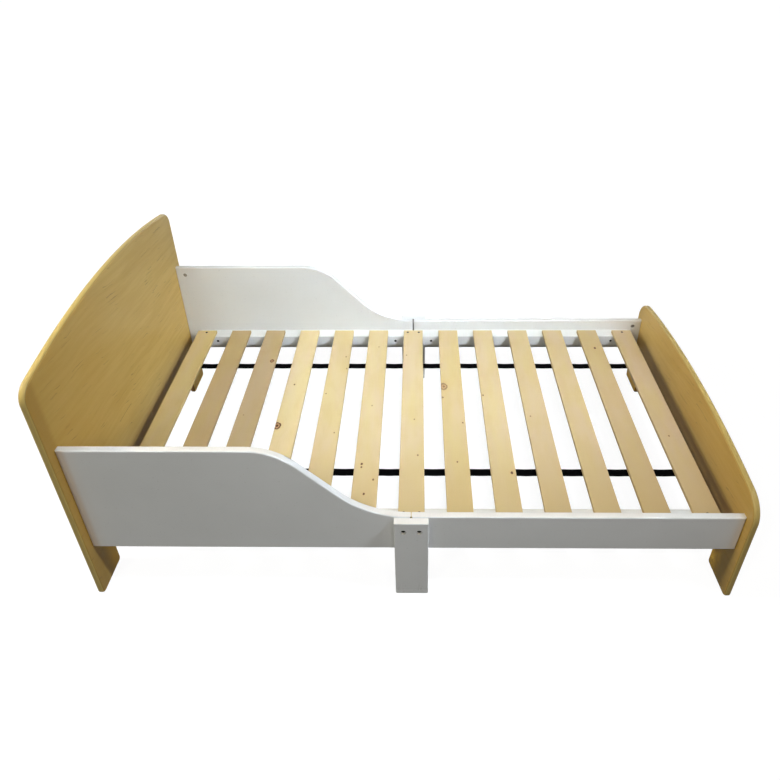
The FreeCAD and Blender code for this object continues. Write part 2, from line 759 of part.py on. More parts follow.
def make_dowel():
    """A wooden dowel with bevelled ends, about the origin along Z."""
    radius = size["dowel_diameter"] / 2
    half = size["dowel_length"] / 2
    bevel = size["dowel_chamfer"]
    lower = [(ZERO, -half), (radius - bevel, -half), (radius, bevel - half)]
    upper = [(radius, half - bevel), (radius - bevel, half), (ZERO, half)]
    return turned_body("dowel", lower + upper)


def make_screw(name, diameter, head_diameter, length):
    """A countersunk wood screw hanging below the origin."""
    shank = diameter / 2
    head = head_diameter / 2
    neck = -(head - shank)
    point = [(ZERO, -length), (shank, diameter - length)]
    return turned_body(name, point + [(shank, neck), (head, ZERO), (ZERO, ZERO)])


def make_staple():
    """A staple whose back lies along X below the origin and whose legs point up."""
    body = make_body("staple")
    half = size["staple_span"] / 2
    wire = size["staple_wire"]
    drawing = Drawing(body, "shape", "XZ_Plane", -wire / 2)
    back = [(-half, -wire), (half, -wire), (half, size["staple_leg"])]
    inside = [(half - wire, size["staple_leg"]), (half - wire, ZERO), (wire - half, ZERO)]
    rest = [(wire - half, size["staple_leg"]), (-half, size["staple_leg"])]
    drawing.outline(back + inside + rest)
    pad(body, drawing, wire)
    return body


def group(name, pieces):
    """One node of identical fasteners: each is a link to its pattern piece at its own place."""
    links = []
    for number, (pattern, place, rotation) in enumerate(pieces, start=1):
        link = document.addObject("App::Link", f"{name}_{number}")
        link.LinkedObject = pattern
        link.Placement = FreeCAD.Placement(FreeCAD.Vector(0, 0, 0), rotation)
        for axis, length in zip("xyz", place):
            bind(link, f"Placement.Base.{axis}", length)
        links.append(link)
    compound = document.addObject("Part::Compound", name)
    compound.Links = links
    return compound


def pointing(direction, roll=0):
    """The turn that takes the Z axis of a fastener to a direction, after a roll about it."""
    aimed = FreeCAD.Rotation(Z_WAY, direction)
    return aimed.multiply(FreeCAD.Rotation(Z_WAY, roll))


def board_fasteners(end, word, bolt, nut):
    """Bolts and nuts that hold one board to the two side rails."""
    outward = X_WAY * end
    head_top = half_length + size["board_thickness"] - size["bolt_head_recess"]
    head_top = head_top + size["bolt_head_thickness"]
    nut_x = half_length - size["nut_inset"]
    nut_y = half_width + size["nut_recess"]
    bolts, nuts = [], []
    for side in (-1, 1):
        for z in ends[end]["bolts"]:
            place = (signed(end, head_top), signed(side, rail_middle), z)
            bolts.append((bolt, place, pointing(outward)))
            place = (signed(end, nut_x), signed(side, nut_y), z)
            nuts.append((nut, place, pointing(Y_WAY * -side)))
    return [group(f"{word}_bolts", bolts), group(f"{word}_barrel_nuts", nuts)]


def leg_fasteners(bolt, insert):
    """Bolts of the middle legs and the inserts that they screw into."""
    face = rail_face + size["middle_leg_thickness"] - size["leg_bolt_recess_depth"]
    face = face + size["leg_bolt_head_thickness"]
    bolts, inserts = [], []
    for side in (-1, 1):
        for way in (-1, 1):
            x = signed(way, leg_bolt_place)
            turned = pointing(Y_WAY * side)
            bolts.append((bolt, (x, signed(side, face), leg_bolt_height), turned))
            inserts.append((insert, (x, signed(side, rail_face), leg_bolt_height), turned))
    return [group("leg_bolts", bolts), group("leg_inserts", inserts)]


def dowel_groups(dowel):
    """Dowels between boards and rails, and dowels across the seams of the rails."""
    middle = half_length + size["dowel_board_depth"] - size["dowel_length"] / 2
    between, across = [], []
    turned = pointing(X_WAY)
    for side in (-1, 1):
        y = signed(side, rail_middle)
        for end in (HEAD, FOOT):
            for z in ends[end]["dowels"]:
                between.append((dowel, (signed(end, middle), y, z), turned))
        for z in seam_dowels:
            across.append((dowel, (ZERO, y, z), turned))
    return [group("board_dowels", between), group("seam_dowels", across)]


def screw_groups(cleat_screw, slat_screw):
    """Screws through the cleats into the rails, and through three slats into the cleats."""
    in_cleats, in_slats = [], []
    for side in (-1, 1):
        inward = pointing(Y_WAY * -side)
        for x in cleat_screw_places:
            for end in (HEAD, FOOT):
                place = (signed(end, x), signed(side, cleat_face), cleat_middle)
                in_cleats.append((cleat_screw, place, inward))
    for y in slat_screw_places.values():
        for x in (leg_bolt_place, last_slat):
            for end in (HEAD, FOOT):
                place = (signed(end, x), y, slat_top)
                in_slats.append((slat_screw, place, pointing(Z_WAY)))
    return [group("cleat_screws", in_cleats), group("slat_screws", in_slats)]


def staple_group(staple):
    """One staple through each strap into the underside of each slat."""
    height = size["slat_seat_height"] - size["strap_thickness"]
    pieces = []
    for strap in (-size["near_strap_offset"], size["far_strap_offset"]):
        for number in range(SLAT_COUNT):
            place = (slat_pitch * number - last_slat, strap, height)
            pieces.append((staple, place, pointing(Z_WAY)))
    return [group("strap_staples", pieces)]


def build():
    """Makes every piece of the bed and returns the objects that are written out."""
    headboard = make_board(
        "headboard",
        HEAD,
        size["headboard_height"],
        size["head_crown_radius"],
        size["head_shoulder_radius"],
    )
    footboard = make_board(
        "footboard",
        FOOT,
        size["footboard_height"],
        size["foot_crown_radius"],
        size["foot_shoulder_radius"],
    )
    pieces = [headboard, footboard]
    for side, word in ((NEAR, "near"), (FAR, "far")):
        pieces.append(make_rail(f"rail_guard_{word}", HEAD, side))
        pieces.append(make_rail(f"rail_low_{word}", FOOT, side))
        pieces.append(make_cleat(f"cleat_guard_{word}", HEAD, side))
        pieces.append(make_cleat(f"cleat_low_{word}", FOOT, side))
        pieces.append(make_middle_leg(f"leg_{word}", side))
    for number in range(1, SLAT_COUNT + 1):
        pieces.append(make_slat(number))
    pieces.append(make_strap("strap_near", -size["near_strap_offset"]))
    pieces.append(make_strap("strap_far", size["far_strap_offset"]))

    board_bolt = make_bolt(
        "board_bolt",
        size["bolt_head_diameter"],
        size["bolt_head_thickness"],
        size["bolt_length"],
        size["bolt_key_width"],
        size["bolt_key_depth"],
    )
    leg_bolt = make_bolt(
        "leg_bolt",
        size["leg_bolt_head_diameter"],
        size["leg_bolt_head_thickness"],
        size["leg_bolt_length"],
        size["leg_bolt_key_width"],
        size["leg_bolt_key_depth"],
    )
    cleat_screw = make_screw(
        "cleat_screw",
        size["cleat_screw_diameter"],
        size["cleat_screw_head_diameter"],
        size["cleat_screw_length"],
    )
    slat_screw = make_screw(
        "slat_screw",
        size["slat_screw_diameter"],
        size["slat_screw_head_diameter"],
        size["slat_screw_length"],
    )
    nut = make_nut()
    pieces += board_fasteners(HEAD, "head", board_bolt, nut)
    pieces += board_fasteners(FOOT, "foot", board_bolt, nut)
    pieces += leg_fasteners(leg_bolt, make_insert())
    pieces += dowel_groups(make_dowel())
    pieces += screw_groups(cleat_screw, slat_screw)
    pieces += staple_group(make_staple())
    return pieces


def check(pieces):
    """Stops on a failed object, on a cut that removed nothing or too much, or on a bad solid."""
    for thing in document.Objects:
        if {"Invalid", "Error"} & set(thing.State):
            raise RuntimeError(f"{thing.Label} failed: {thing.State}")
        if thing.TypeId == "PartDesign::Pocket":
            removed = thing.BaseFeature.Shape.Volume - thing.Shape.Volume
            if not 0 < removed < thing.AddSubShape.Volume * (1 + CUT_TOLERANCE_SHARE):
                raise RuntimeError(f"{thing.Label} cut {removed} of {thing.AddSubShape.Volume}")
    for piece in pieces:
        if piece.Shape.isNull() or not piece.Shape.isValid() or not piece.Shape.Solids:
            raise RuntimeError(f"{piece.Label} isn't a valid solid")


def write(pieces):
    os.makedirs("parts", exist_ok=True)
    for piece in pieces:
        piece.Shape.exportStep(os.path.join("parts", f"{piece.Label}.step"))


bed = build()
document.recompute()
check(bed)
write(bed)
print(f"{len(bed)} nodes, {sum(len(piece.Shape.Solids) for piece in bed)} solids")
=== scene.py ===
import json
import math

import bmesh
import bpy
from mathutils import Matrix, Vector

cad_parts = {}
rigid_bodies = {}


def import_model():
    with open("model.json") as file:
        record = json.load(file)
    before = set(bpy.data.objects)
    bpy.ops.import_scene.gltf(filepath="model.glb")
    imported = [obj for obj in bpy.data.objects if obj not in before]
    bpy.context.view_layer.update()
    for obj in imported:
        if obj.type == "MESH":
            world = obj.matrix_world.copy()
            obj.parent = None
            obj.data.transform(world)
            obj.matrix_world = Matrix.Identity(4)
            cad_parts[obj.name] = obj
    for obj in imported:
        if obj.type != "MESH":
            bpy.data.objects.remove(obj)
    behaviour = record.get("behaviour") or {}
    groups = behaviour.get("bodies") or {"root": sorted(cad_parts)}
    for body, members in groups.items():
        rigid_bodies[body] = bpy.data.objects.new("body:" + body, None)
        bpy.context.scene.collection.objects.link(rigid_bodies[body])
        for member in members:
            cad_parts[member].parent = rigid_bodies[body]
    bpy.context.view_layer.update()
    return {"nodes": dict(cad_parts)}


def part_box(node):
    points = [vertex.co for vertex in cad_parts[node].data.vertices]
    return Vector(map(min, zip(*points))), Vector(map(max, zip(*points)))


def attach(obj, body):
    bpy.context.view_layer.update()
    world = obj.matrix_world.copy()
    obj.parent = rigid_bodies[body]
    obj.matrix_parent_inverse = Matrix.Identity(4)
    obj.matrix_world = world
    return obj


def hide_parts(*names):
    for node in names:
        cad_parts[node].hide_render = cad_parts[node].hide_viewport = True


# A low child's bed: wood-look headboard and footboard, white rails with an S-curved guard, bare
# wood slats on battens, and two webbing straps that keep the slats apart.
# Lengths are metres. The bed stands on the floor with its headboard at -X and its near side at -Y.

bl_info = {
    "name": "Kids Bed",
    "version": (1, 0, 0),
    "blender": (4, 5, 0),
    "location": "View3D > Sidebar > Kids Bed",
    "description": "Finishes, webbing straps and studio for a low child's bed",
    "category": "Object",
}

for leftover in list(bpy.data.objects):
    bpy.data.objects.remove(leftover)
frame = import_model()

BODY = "root"
BOARDS = ("headboard", "footboard")
WHITE = ("rail_", "cleat_guard", "cleat_low", "leg_near", "leg_far")
LACQUERED = sorted(name for name in frame["nodes"] if name.startswith(WHITE))
SLATS = sorted(name for name in frame["nodes"] if name.startswith(("slat_0", "slat_1")))
STRAPS = ("strap_near", "strap_far")
PLATED = ("head_bolts", "foot_bolts", "head_barrel_nuts", "foot_barrel_nuts")
PLATED += ("leg_inserts", "strap_staples")
BLACKENED = ("cleat_screws", "slat_screws")
DOWELS = ("board_dowels", "seam_dowels")

# Where painted shade and light change the boards' laminate. Each pair holds a place where the
# change is still nothing and a place where it is full, measured along the bed, across it or up from
# the floor.
INNER_HALF = (0.712, 0.708)
HEAD_HALF, FOOT_HALF = (0.1, -0.1), (-0.1, 0.1)
TOWARDS_NEAR = (0.10, -0.42)
TOWARDS_FAR = (0.10, 0.28)
NEAR_STRIP = (-0.350, -0.368)
BETWEEN_RAILS = (0.358, 0.352)
BELOW_SLATS, ABOVE_CUT_OUT = (0.212, 0.188), (0.150, 0.165)
BOARD_LEGS = (0.150, 0.130)
FAR_LEG, NEAR_LEG = (0.2, 0.25), (-0.350, -0.318)
CUT_OUT_TOP, CUT_OUT_SIDE = (0.155, 0.135), (0.312, 0.300)

# Where the lacquer changes, in the same way: its seam, and its painted shade and light
RAIL_OUTSIDE, RAIL_THICKNESS_END = (0.3685, 0.3695), (0.3706, 0.3698)
SEAM = (0.0028, 0.0018)
RAIL_END, NEAR_RAIL_END = (0.682, 0.694), (0.660, 0.700)
TOP_NEAR_SIDE = (-0.2, -0.3)
TOP_FROM, TOP_UNTIL = (-0.6, -0.5), (0.62, 0.45)

# Where painted shade makes the slats more brown towards the near side
SLAT_TOWARDS_NEAR = (-0.05, -0.36)

# A pattern this deep doesn't change through a board's thickness
THROUGH = 10.0

# The Mix node's sockets for colours, whose names it gives to its other sockets too
MIX_FACTOR, MIX_FIRST, MIX_SECOND, MIX_RESULT = 0, 6, 7, 2

# How much of the tan tone each slat has, from the head to the foot, and how golden some of them are
TAN_SHARES = (0.20, 1.2, 1.12, 0.12, 0.38, 0.35, 0.36, 0.50, 0.50, 0.68, 0.68, 0.80, 0.62)
GOLDEN = {1: 0.9, 2: 0.3, 8: 0.4, 12: 0.2, 13: -0.3}

# A knot from this radius up has a red-brown heart in a dark rim, a smaller one is a dark dot
RIMMED_KNOT = 0.005

# Knots: number of the slat, place across it, place along it, radius and share of darkness
KNOTS = (
    (3, 0.018, 0.187, 0.0055, 1.0),
    (3, -0.012, -0.037, 0.0020, 0.6),
    (4, -0.024, -0.076, 0.0095, 1.0),
    (4, -0.006, 0.083, 0.0026, 1.0),
    (5, 0.018, 0.206, 0.0022, 0.8),
    (5, 0.025, 0.152, 0.0020, 0.8),
    (5, -0.021, 0.046, 0.0020, 0.8),
    (5, 0.018, -0.100, 0.0020, 0.8),
    (6, 0.005, 0.254, 0.0024, 0.5),
    (6, 0.000, -0.001, 0.0024, 0.5),
    (6, -0.012, -0.202, 0.0032, 0.95),
    (6, -0.012, -0.212, 0.0026, 0.9),
    (6, 0.018, -0.249, 0.0028, 0.8),
    (6, -0.001, -0.290, 0.0030, 0.9),
    (7, -0.019, 0.214, 0.0022, 0.8),
    (7, 0.005, -0.052, 0.0022, 0.7),
    (7, 0.014, -0.174, 0.0026, 0.7),
    (8, -0.022, 0.075, 0.0105, 0.6),
    (8, -0.026, 0.031, 0.0035, 0.7),
    (8, 0.022, -0.064, 0.0024, 0.95),
    (8, 0.001, -0.195, 0.0024, 0.8),
    (9, -0.024, 0.040, 0.0026, 0.95),
    (9, 0.019, -0.228, 0.0040, 1.0),
    (10, -0.016, -0.040, 0.0024, 0.7),
    (12, 0.005, 0.248, 0.0042, 1.0),
    (13, -0.005, -0.109, 0.0024, 0.8),
)

# Lamps: name, place, where it points, side, power, spread in degrees and colour
LAMPS = (
    ("ceiling_right", (1.06, -0.6, 1.77), (-0.3, 0.1, 0.2), 0.09, 3.9, 64, (0.88, 1.0, 1.12)),
    ("ceiling_left", (-1.5, -2.5, 3.4), (0.3, 0.1, 0.2), 0.14, 33.0, 180, (1.0, 1.0, 0.86)),
    ("head_high", (-2.1, -0.35, 2.2), (0.0, 0.0, 0.2), 0.2, 16.5, 180, (1.04, 1.0, 0.90)),
    ("beyond_head", (-2.4, -0.35, 1.3), (0.0, 0.0, 0.2), 0.28, 20.0, 180, (1.04, 1.0, 0.94)),
    ("foot_high", (2.1, -0.35, 2.2), (0.0, 0.0, 0.2), 0.3, 4.0, 180, (1.0, 1.0, 1.0)),
    ("over_guard", (-1.1, -0.2, 1.9), (-0.62, -0.40, 0.4), 0.2, 0.32, 40, (1.0, 1.0, 1.0)),
    ("over_foot", (0.9, -0.2, 1.9), (0.65, 0.2, 0.2), 0.1, 0.22, 40, (1.0, 1.0, 1.0)),
    ("far_side", (0.85, -0.50, 1.60), (0.02, 0.36, 0.30), 0.08, 1.15, 48, (0.85, 1.0, 1.16)),
    ("far_head", (0.10, -0.50, 1.50), (-0.50, 0.36, 0.34), 0.06, 0.25, 60, (0.84, 1.0, 1.20)),
    ("front_right", (1.23, -2.83, 2.20), (0.0, -0.38, 0.2), 0.10, 16.0, 180, (1.06, 1.0, 1.0)),
    ("back", (0.0, 3.6, 0.8), (0.0, 0.4, 0.3), 0.8, 18.0, 180, (1.0, 1.0, 1.0)),
)


def colour(name, value, words):
    """A colour that the panel can change."""
    return bpy.props.FloatVectorProperty(
        name=name, description=words, default=value, size=3, min=0.0, max=1.0, subtype="COLOR"
    )


def length(name, value, words):
    """A length that the panel can change."""
    return bpy.props.FloatProperty(
        name=name, description=words, default=value, min=0.0, unit="LENGTH"
    )


def share(name, value, words):
    """A share between nothing and all."""
    return bpy.props.FloatProperty(
        name=name, description=words, default=value, min=0.0, max=1.0, subtype="FACTOR"
    )


def angle(name, degrees, words):
    """An angle that the panel can change."""
    return bpy.props.FloatProperty(
        name=name, description=words, default=math.radians(degrees), subtype="ANGLE"
    )


class KIDSBED_PG_boards(bpy.types.PropertyGroup):
    """The laminate of the headboard and the footboard."""

    face: colour("Face", (0.65, 0.455, 0.142), "Laminate on the flat faces")
    streak: colour("Streak", (0.54, 0.34, 0.082), "Darker streaks of the grain")
    band: colour("Edge band", (0.56, 0.405, 0.12), "Band round the edges")
    fleck: colour("Fleck", (0.20, 0.10, 0.022), "Short dark flecks in the grain")
    streak_length: length("Streak length", 0.20, "Typical length of a streak across the bed")
    streak_width: length("Streak width", 0.012, "Typical width of a streak")
    fleck_length: length("Fleck length", 0.036, "Typical length of a fleck")
    fleck_width: length("Fleck width", 0.0022, "Typical width of a fleck")
    fleck_gap: length("Fleck gap", 0.10, "Typical distance between two flecks along the grain")


class KIDSBED_PG_lacquer(bpy.types.PropertyGroup):
    """The white lacquer of rails, battens and middle legs."""

    white: colour("White", (0.82, 0.82, 0.80), "Lacquer")
    scuff: colour("Scuff", (0.55, 0.53, 0.49), "Scuffs near the floor")
    raw: colour("Raw board", (0.045, 0.026, 0.010), "Bare board at the seam of two rails")
    ripple: length("Ripple", 0.0016, "Size of the lacquer's faint ripple")
    scuff_height: length("Scuff height", 0.05, "Height up to which the legs are scuffed")


class KIDSBED_PG_slats(bpy.types.PropertyGroup):
    """The bare wood of the slats."""

    pale: colour("Pale wood", (0.70, 0.56, 0.31), "Pale slats")
    tan: colour("Tan wood", (0.50, 0.375, 0.195), "Slats at the head")
    late: colour("Late wood", (0.60, 0.38, 0.15), "Darker lines of the growth rings")
    knot: colour("Knot", (0.10, 0.035, 0.012), "Core of a knot")
    ring_gap: length("Ring gap", 0.0055, "Distance between two growth rings")
    fibre_length: length("Fibre length", 0.045, "Typical length of a fibre streak")
    fibre_width: length("Fibre width", 0.0009, "Typical width of a fibre streak")


class KIDSBED_PG_fasteners(bpy.types.PropertyGroup):
    """The steel of bolts, nuts, inserts, screws and staples, and the dowels' wood."""

    zinc: colour("Zinc", (0.42, 0.41, 0.38), "Zinc plating")
    zinc_dull: colour("Dull zinc", (0.24, 0.23, 0.20), "Dull patches of the plating")
    # Painted shade: the middle legs' bolts are darkened for the shade in their recesses
    leg_bolt: colour("Leg bolt", (0.10, 0.096, 0.086), "Bolts of the middle legs")
    leg_bolt_dull: colour("Dull leg bolt", (0.04, 0.038, 0.034), "Dull patches of these bolts")
    screw: colour("Screw", (0.030, 0.026, 0.022), "Blackened screws")
    screw_dull: colour("Dull screw", (0.016, 0.014, 0.012), "Dull patches of the screws")
    dowel: colour("Dowel", (0.62, 0.43, 0.24), "Raw hardwood of the dowels")
    dowel_fibre: colour("Dowel fibre", (0.48, 0.31, 0.16), "Darker fibre of the dowels")


class KIDSBED_PG_straps(bpy.types.PropertyGroup):
    """The woven straps under the slats."""

    black: colour("Yarn", (0.0008, 0.0008, 0.0009), "Yarn of the webbing")
    # Wear and painted sheen on the raised yarn
    worn_and_sheen: colour("Worn yarn", (0.004, 0.004, 0.004), "Raised yarn that catches the light")
    thickness: length("Thickness", 0.0012, "Thickness of the webbing")
    rib_gap: length("Rib gap", 0.0018, "Distance between two cross ribs")
    column_width: length("Column width", 0.0025, "Width of one column of the weave")
    relief: length("Relief", 0.00012, "Height of the weave")
    wander: length("Wander", 0.0005, "How far a strap strays from its line")


class KIDSBED_PG_stage(bpy.types.PropertyGroup):
    """The camera, the lamps and the floor."""

    camera_place: bpy.props.FloatVectorProperty(
        name="Camera",
        description="Where the camera stands",
        default=(0.0168, -1.2603, 1.3636),
        unit="LENGTH",
    )
    camera_turn: angle("Turn", 1.026, "Turn about the vertical")
    camera_dip: angle("Dip", 30.574, "How far the camera looks down")
    camera_roll: angle("Roll", -0.647, "Roll about its own axis")
    ambient: share("Ambient", 0.15, "Soft light from above")
    brightness: share("Brightness", 1.0, "Part of the lamps' full power")
    floor_glow: share("Floor glow", 0.95, "Part of the floor's white that shadows leave alone")
    clear_from: length("Clear from", 0.9, "Distance from which the floor turns plain white")


class Field:
    """A value that varies over a surface. Sums and products of it add Math nodes."""

    def __init__(self, finish, socket):
        self.finish = finish
        self.socket = socket

    def __add__(self, other):
        return self.finish.maths("ADD", self, other)

    def __radd__(self, other):
        return self.finish.maths("ADD", other, self)

    def __sub__(self, other):
        return self.finish.maths("SUBTRACT", self, other)

    def __rsub__(self, other):
        return self.finish.maths("SUBTRACT", other, self)

    def __mul__(self, other):
        return self.finish.maths("MULTIPLY", self, other)

    def __rmul__(self, other):
        return self.finish.maths("MULTIPLY", other, self)

    def __truediv__(self, other):
        return self.finish.maths("DIVIDE", self, other)

    def __abs__(self):
        return self.finish.maths("ABSOLUTE", self)

    def sine(self):
        return self.finish.maths("SINE", self)

    def larger(self, other):
        return self.finish.maths("MAXIMUM", self, other)

    def rise(self, low, high):
        """From 0 at low to 1 at high, with soft ends."""
        settings = {"interpolation_type": "SMOOTHSTEP"}
        inputs = {"Value": self, "From Min": low, "From Max": high}
        return self.finish.node("ShaderNodeMapRange", settings, inputs)


class Finish:
    """A node tree under construction, with one method that makes each of its nodes."""

    def __init__(self, owner):
        owner.use_nodes = True
        self.tree = owner.node_tree

    def node(self, kind, settings=None, inputs=None, output=0):
        """Adds a node: first its settings, then the values or links of its sockets.

        A socket goes by its name, or by its number where several share a name.
        """
        made = self.tree.nodes.new(kind)
        for setting, value in (settings or {}).items():
            setattr(made, setting, value)
        for place, value in (inputs or {}).items():
            self.fill(made.inputs[place], value)
        return Field(self, made.outputs[output]) if made.outputs else None

    def fill(self, socket, value):
        if isinstance(value, Field):
            self.tree.links.new(value.socket, socket)
        else:
            socket.default_value = value

    def maths(self, operation, *values):
        return self.node("ShaderNodeMath", {"operation": operation}, dict(enumerate(values)))

    def parts(self, vector):
        """The three parts of a vector."""
        split = self.node("ShaderNodeSeparateXYZ", inputs={0: vector}).socket.node
        return [Field(self, socket) for socket in split.outputs]

    def blend(self, factor, first, second):
        """A colour between two others."""
        ends = [value if isinstance(value, Field) else (*value, 1.0) for value in (first, second)]
        inputs = {MIX_FACTOR: factor, MIX_FIRST: ends[0], MIX_SECOND: ends[1]}
        return self.node("ShaderNodeMix", {"data_type": "RGBA"}, inputs, output=MIX_RESULT)


class Material(Finish):
    """A surface finish in the bed's own coordinates."""

    def __init__(self, name):
        self.material = bpy.data.materials.new(name)
        super().__init__(self.material)
        self.shader = self.tree.nodes["Principled BSDF"]
        self.place = self.node("ShaderNodeTexCoord", output="Object")
        self.x, self.y, self.z = self.parts(self.place)
        normal = self.parts(self.node("ShaderNodeNewGeometry", output="Normal"))
        self.normal_x, self.normal_z = abs(normal[0]), abs(normal[2])

    def noise(self, sizes, shift=0.0, detail=3.0, roughness=0.55, place=None):
        """Soft noise about 0.5 whose features have these sizes along the three axes.

        Each shift gives another pattern.
        """
        scale = [1.0 / size for size in sizes]
        inputs = {"Vector": place or self.place, "Location": (shift, shift, shift), "Scale": scale}
        mapped = self.node("ShaderNodeMapping", inputs=inputs)
        inputs = {"Scale": 1.0, "Detail": detail, "Roughness": roughness, "Vector": mapped}
        return self.node("ShaderNodeTexNoise", inputs=inputs)

    def joined(self, x, y, z):
        """A place from its three parts."""
        return self.node("ShaderNodeCombineXYZ", inputs={"X": x, "Y": y, "Z": z})

    def relief(self, height, strength, distance):
        inputs = {"Strength": strength, "Distance": distance, "Height": height}
        return self.node("ShaderNodeBump", inputs=inputs)

    def shade(self, **values):
        """Fills the shader's sockets: Base_Color stands for Base Color."""
        for name, value in values.items():
            if isinstance(value, tuple) and len(value) == 3:
                value = (*value, 1.0)
            self.fill(self.shader.inputs[name.replace("_", " ")], value)
        return self.material


def dress(nodes, material):
    """Gives CAD nodes their finish."""
    for name in nodes:
        for slot in frame["nodes"][name].material_slots:
            slot.material = material


def new_object(name, data):
    """An object in the scene, at the origin."""
    made = bpy.data.objects.new(name, data)
    bpy.context.scene.collection.objects.link(made)
    return made


def new_mesh(name, shape):
    """A mesh from a finished shape."""
    mesh = bpy.data.meshes.new(name)
    shape.to_mesh(mesh)
    shape.free()
    return mesh


def mix_of(first, second, part):
    """A colour between two others, as plain numbers."""
    return tuple(one * (1.0 - part) + other * part for one, other in zip(first, second))


def tint(value, *parts):
    """A colour with its red, green and blue scaled."""
    return tuple(min(1.0, one * part) for one, part in zip(value, parts))


def fleck_marks(finish, settings, height):
    """Short flecks along the grain: at most one in each cell of a slanted, drifting grid."""
    cell_height = settings.fleck_width / settings.fleck_length * settings.fleck_gap
    drift = finish.noise((THROUGH, 0.06, 0.03), 31.0, 2.0) - 0.5
    across = (height + finish.y * 0.10 + drift * 0.02) / cell_height
    along = finish.y / settings.fleck_gap + drift * 1.5
    inputs = {"Vector": finish.joined(along, across, 0.0), "Scale": 1.0}
    spots = finish.node("ShaderNodeTexVoronoi", {"voronoi_dimensions": "2D"}, inputs)
    chance = finish.parts(Field(finish, spots.socket.node.outputs["Color"]))[0]
    reach = settings.fleck_length / settings.fleck_gap / 2
    flecks = spots.rise(reach * 1.5, reach * 0.2) * chance.rise(0.60, 1.0)
    patches = finish.noise((THROUGH, 0.10, 0.06), 21.0, 1.0).rise(0.40, 0.60)
    return flecks * (patches * 0.6 + 0.4)


def face_painted_shade_and_light(finish, settings, face):
    """The flat faces: painted shade makes them more brown towards the near side and gives the
    headboard a more brown band along its near edge, and painted light makes the footboard's far end
    paler.
    """
    # Painted shade towards the near side
    painted_near_shade = finish.y.rise(*TOWARDS_NEAR) * 0.5
    face = finish.blend(painted_near_shade, face, tint(settings.streak, 0.95, 0.86, 0.60))
    # Painted shade along the headboard's near edge
    painted_strip_shade = finish.y.rise(*NEAR_STRIP) * finish.x.rise(*HEAD_HALF) * 0.7
    face = finish.blend(painted_strip_shade, face, tint(settings.streak, 0.80, 0.72, 0.58))
    # Painted light at the footboard's far end
    painted_far_light = finish.y.rise(*TOWARDS_FAR) * finish.x.rise(*FOOT_HALF) * 0.6
    return finish.blend(painted_far_light, face, tint(settings.face, 1.25, 1.28, 1.45))


def inner_face_painted_shade_and_light(finish, settings, face):
    """The flat faces' inner sides: a painted shadow beside the slats, painted shade on the far legs
    and painted light on the shaded near legs.
    """
    inside = abs(finish.x).rise(*INNER_HALF)
    between_rails = inside * abs(finish.y).rise(*BETWEEN_RAILS)
    # Painted shadow beside the slats
    painted_slat_shadow = finish.z.rise(*BELOW_SLATS) * finish.z.rise(*ABOVE_CUT_OUT) * between_rails
    face = finish.blend(painted_slat_shadow * 0.45, face, tint(settings.streak, 0.55, 0.36, 0.22))
    legs = finish.z.rise(*BOARD_LEGS) * inside
    # Painted shade on the far legs
    painted_far_leg_shade = legs * finish.y.rise(*FAR_LEG)
    face = finish.blend(painted_far_leg_shade, face, tint(settings.streak, 0.32, 0.16, 0.04))
    # Painted light on the near legs' shaded inner sides
    painted_near_leg_light = legs * finish.y.rise(*NEAR_LEG) * 0.9
    return finish.blend(painted_near_leg_light, face, tint(settings.face, 1.80, 1.30, 0.45))


def edge_band(finish, settings):
    """The band round the edges, with painted shade in the cut-out between the legs."""
    tone = finish.noise((0.02, 0.25, 0.25), 5.0, 3.0).rise(0.3, 0.7)
    band = finish.blend(tone, tuple(settings.band), tint(settings.band, 0.9, 0.9, 0.9))
    # Painted shade in the cut-out between the legs
    painted_cut_out_shade = finish.z.rise(*CUT_OUT_TOP) * abs(finish.y).rise(*CUT_OUT_SIDE) * 0.9
    return finish.blend(painted_cut_out_shade, band, tint(settings.streak, 0.34, 0.23, 0.14))


def laminate(settings):
    """Satin maple-look laminate: soft streaks across the bed, sparse flecks, and an edge band."""
    finish = Material("maple_laminate")
    stray = (finish.noise((THROUGH, 0.30, 0.20), 2.0, 1.0) - 0.5) * 0.03
    height = finish.z + finish.y * 0.09 + stray
    grain_place = finish.joined(finish.x, finish.y, height)
    cloud = finish.noise((THROUGH, 0.26, 0.10), 0.0, 2.0)
    sizes = (THROUGH, settings.streak_length, settings.streak_width)
    streaks = finish.noise(sizes, 3.0, 4.0, 0.62, grain_place)
    threads = finish.noise((THROUGH, 0.05, 0.0025), 11.0, 2.0, 0.5, grain_place)
    tone = streaks.rise(0.34, 0.66) * 0.42 + cloud.rise(0.38, 0.62) * 0.28
    tone = tone + threads.rise(0.3, 0.7) * 0.14
    face = finish.blend(tone, tuple(settings.face), tuple(settings.streak))
    # Painted shade and light on the flat faces
    face = face_painted_shade_and_light(finish, settings, face)
    marks = fleck_marks(finish, settings, height)
    face = finish.blend(marks * 0.6, face, tuple(settings.fleck))
    # Painted shadow and light on the inner sides
    face = inner_face_painted_shade_and_light(finish, settings, face)
    on_face = finish.normal_x.rise(0.72, 0.86)
    base = finish.blend(on_face, edge_band(finish, settings), face)
    seam = 1.0 - abs(finish.normal_x - 0.78).rise(0.03, 0.10)
    base = finish.blend(seam * 0.5, base, tuple(settings.fleck))
    bump = finish.relief(threads * 0.5 - marks, 0.2, 0.0002)
    rough = 0.30 + streaks * 0.10
    return finish.shade(Base_Color=base, Roughness=rough, Specular_IOR_Level=0.30, Normal=bump)


